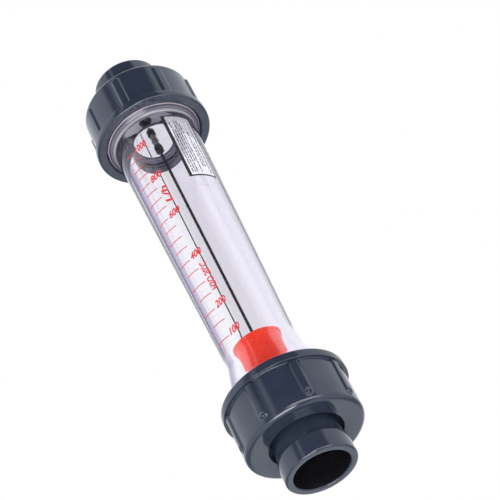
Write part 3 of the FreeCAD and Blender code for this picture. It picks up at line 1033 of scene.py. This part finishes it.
def make_camera():
    """The photograph's camera, fitted to the nuts' rims and the tube's edges."""
    pitch, yaw, roll = (math.radians(a) for a in (CAMERA_PITCH, CAMERA_YAW, CAMERA_ROLL))
    ahead = camera_vector(0, math.cos(pitch), math.sin(pitch))
    above = camera_vector(0, -math.sin(pitch), math.cos(pitch))
    aside = camera_vector(1, 0, 0)
    forward = ahead * math.cos(yaw) + aside * math.sin(yaw)
    side = aside * math.cos(yaw) - ahead * math.sin(yaw)
    up = above * math.cos(roll) + side * math.sin(roll)
    right = side * math.cos(roll) - above * math.sin(roll)
    data = bpy.data.cameras.new("camera")
    data.lens = CAMERA_LENS
    data.sensor_width = SENSOR_WIDTH
    data.clip_end = 20
    camera = bpy.data.objects.new("camera", data)
    bpy.context.scene.collection.objects.link(camera)
    spot = camera_vector(0, -CAMERA_DISTANCE * MM, CAMERA_HEIGHT * MM)
    turn = Matrix((right, up, -forward)).transposed().to_4x4()
    camera.matrix_world = Matrix.Translation(spot) @ turn
    bpy.context.scene.camera = camera


def make_floor():
    """A pale floor that is seen only from above, as the photograph looks up through it."""
    side = 3.0
    level = -0.3 * MM
    corners = [(-side, -side, level), (side, -side, level), (side, side, level),
               (-side, side, level)]
    mesh = bpy.data.meshes.new("floor")
    mesh.from_pydata(corners, [], [(0, 1, 2, 3)])
    floor = bpy.data.objects.new("floor", mesh)
    bpy.context.scene.collection.objects.link(floor)
    material = bpy.data.materials.new("floor_pale")
    material.use_nodes = True
    tree = material.node_tree
    bsdf = tree.nodes["Principled BSDF"]
    bsdf.inputs["Base Color"].default_value = (0.90, 0.90, 0.91, 1)
    bsdf.inputs["Roughness"].default_value = 0.9
    bsdf.inputs["Specular IOR Level"].default_value = 0.1
    see_through = tree.nodes.new("ShaderNodeBsdfTransparent")
    geometry = tree.nodes.new("ShaderNodeNewGeometry")
    path = tree.nodes.new("ShaderNodeLightPath")
    looked_at = maths(tree, "MAXIMUM", path.outputs["Is Camera Ray"],
                      path.outputs["Is Transmission Ray"])
    from_above = maths(tree, "SUBTRACT", 1.0, geometry.outputs["Backfacing"])
    mix = tree.nodes.new("ShaderNodeMixShader")
    tree.links.new(maths(tree, "MULTIPLY", looked_at, from_above), mix.inputs["Fac"])
    tree.links.new(see_through.outputs["BSDF"], mix.inputs[1])
    tree.links.new(bsdf.outputs["BSDF"], mix.inputs[2])
    tree.links.new(mix.outputs["Shader"], tree.nodes["Material Output"].inputs["Surface"])
    mesh.materials.append(material)


# Name, azimuth from the camera's side, elevation, width and height in metres, watts
LAMPS = (
    ("left_lamp", -75, 20, 1.0, 1.4, 14),
    ("right_lamp", 70, 25, 1.0, 1.4, 10),
    ("top_lamp", 160, 65, 1.2, 1.2, 10),
    ("low_lamp", -10, -55, 1.2, 1.2, 20),
)
LAMP_DISTANCE = 1.6


def make_lamp(name, azimuth, elevation, width, height, power):
    """A soft rectangular lamp that lights the meter and isn't seen itself."""
    data = bpy.data.lights.new(name, "AREA")
    data.shape = "RECTANGLE"
    data.size = width
    data.size_y = height
    data.energy = power
    lamp = bpy.data.objects.new(name, data)
    bpy.context.scene.collection.objects.link(lamp)
    turn, rise = math.radians(azimuth), math.radians(elevation)
    back = camera_vector(math.sin(turn) * math.cos(rise), -math.cos(turn) * math.cos(rise),
                         math.sin(rise))
    middle = Vector((0, 0, LENGTH / 2 * MM))
    lamp.location = middle + back * LAMP_DISTANCE
    lamp.rotation_euler = back.to_track_quat("Z", "Y").to_euler()
    lamp.visible_camera = False
    lamp.visible_glossy = False
    lamp.visible_transmission = False


# What rays through the clear plastic see, by bearing: degrees from straight behind the
# meter, positive to the right; the second list is for rays that also bounced inside it
CLEAR_STOPS = (
    (-90, (0.90, 0.90, 0.93)), (-30, (0.99, 0.99, 1.0)), (-6.5, (0.99, 0.99, 1.0)),
    (-4.0, (0.85, 0.84, 0.88)), (9, (0.865, 0.84, 0.92)), (18, (0.94, 0.92, 1.0)),
    (28, (0.97, 0.95, 1.0)), (45, (0.88, 0.88, 0.97)), (90, (0.88, 0.87, 0.94)),
)
EDGE_STOPS = (
    (-90, (1.0, 1.0, 1.0)), (-60, (0.97, 0.95, 0.98)), (-50, (0.66, 0.58, 0.69)),
    (-40, (0.56, 0.48, 0.65)), (-29, (0.36, 0.29, 0.48)), (-17, (0.10, 0.08, 0.21)),
    (-11, (0.22, 0.20, 0.34)), (-4, (0.88, 0.90, 0.96)), (90, (0.88, 0.86, 0.95)),
)
PLAIN_LIGHT = (0.84, 0.85, 0.88)
WHITE = (1.0, 1.0, 1.0)


def world_angles(tree):
    """Bearing from straight behind the meter, bearing from the camera's side, and rise."""
    where = tree.nodes.new("ShaderNodeTexCoord")
    turned = tree.nodes.new("ShaderNodeVectorRotate")
    turned.rotation_type = "Z_AXIS"
    turned.inputs["Angle"].default_value = -math.radians(CAMERA_AZIMUTH)
    tree.links.new(where.outputs["Generated"], turned.inputs["Vector"])
    parts = tree.nodes.new("ShaderNodeSeparateXYZ")
    tree.links.new(turned.outputs["Vector"], parts.inputs["Vector"])
    across, ahead, up = (parts.outputs[axis] for axis in "XYZ")
    behind = maths(tree, "MULTIPLY", ahead, -1.0)
    angles = (maths(tree, "ARCTAN2", across, ahead), maths(tree, "ARCTAN2", across, behind),
              maths(tree, "ARCSINE", up))
    return [maths(tree, "MULTIPLY", angle, 180 / math.pi) for angle in angles]


def area(tree, bearing, left, right, soft, rise, low, high, rise_soft):
    """A soft-edged rectangle of the world: 1 inside, 0 outside."""
    return maths(tree, "MULTIPLY", window(tree, bearing, left, right, soft),
                 window(tree, rise, low, high, rise_soft))


def reflected_room(tree, bearing, from_camera, rise, dark_side):
    """What shiny surfaces reflect: a pale room, dark on the camera's side, with strips."""
    gloss = mixed(tree, dark_side, (1.1, 1.12, 1.2), (0.07, 0.075, 0.09))
    for left, right in ((-62, -16), (34, 66)):
        shade = area(tree, bearing, left, right, 14, rise, -60, 10, 8)
        gloss = mixed(tree, shade, gloss, (0.30, 0.31, 0.35))
    strip = window(tree, from_camera, -34, -26, 4)
    gloss = mixed(tree, strip, gloss, (1.1, 1.1, 1.15))
    low_left = area(tree, from_camera, -52, 12, 8, rise, -76, -46, 4)
    between = window(tree, rise, -21, -9, 2)
    strips = maths(tree, "SUBTRACT", window(tree, rise, -28, 0, 4), between)
    low_right = maths(tree, "MULTIPLY", window(tree, from_camera, -4, 54, 8),
                      maths(tree, "MAXIMUM", strips, 0.0))
    low = maths(tree, "MAXIMUM", low_left, low_right)
    return mixed(tree, low, gloss, (10.0, 10.0, 10.4))


def make_world():
    """A white studio behind the meter, darker on the camera's side."""
    world = bpy.data.worlds.new("studio")
    bpy.context.scene.world = world
    world.use_nodes = True
    tree = world.node_tree
    background = tree.nodes["Background"]
    bearing, from_camera, rise = world_angles(tree)
    share = share_of(tree, bearing, -90, 90)
    clear_view = color_stops(tree, share, -90, 90, CLEAR_STOPS)
    edge_view = color_stops(tree, share, -90, 90, EDGE_STOPS)
    path = tree.nodes.new("ShaderNodeLightPath")
    bounced = share_of(tree, path.outputs["Glossy Depth"], 0, 1)
    dark_side = window(tree, from_camera, -50, 52, 5)
    edge_view = mixed(tree, dark_side, edge_view, (0.10, 0.10, 0.12))
    through = mixed(tree, bounced, clear_view, edge_view)
    gloss = reflected_room(tree, bearing, from_camera, rise, dark_side)
    color = mixed(tree, path.outputs["Is Glossy Ray"], PLAIN_LIGHT, gloss)
    color = mixed(tree, path.outputs["Is Transmission Ray"], color, through)
    color = mixed(tree, path.outputs["Is Camera Ray"], color, WHITE)
    tree.links.new(color, background.inputs["Color"])
    background.inputs["Strength"].default_value = 1.0


make_camera()
make_tube()
make_scale()
make_label()
make_seam()
make_nuts()
make_tails()
make_float()
dress_solids()
make_floor()
for lamp_data in LAMPS:
    make_lamp(*lamp_data)
make_world()
bpy.context.scene.view_settings.view_transform = "Standard"
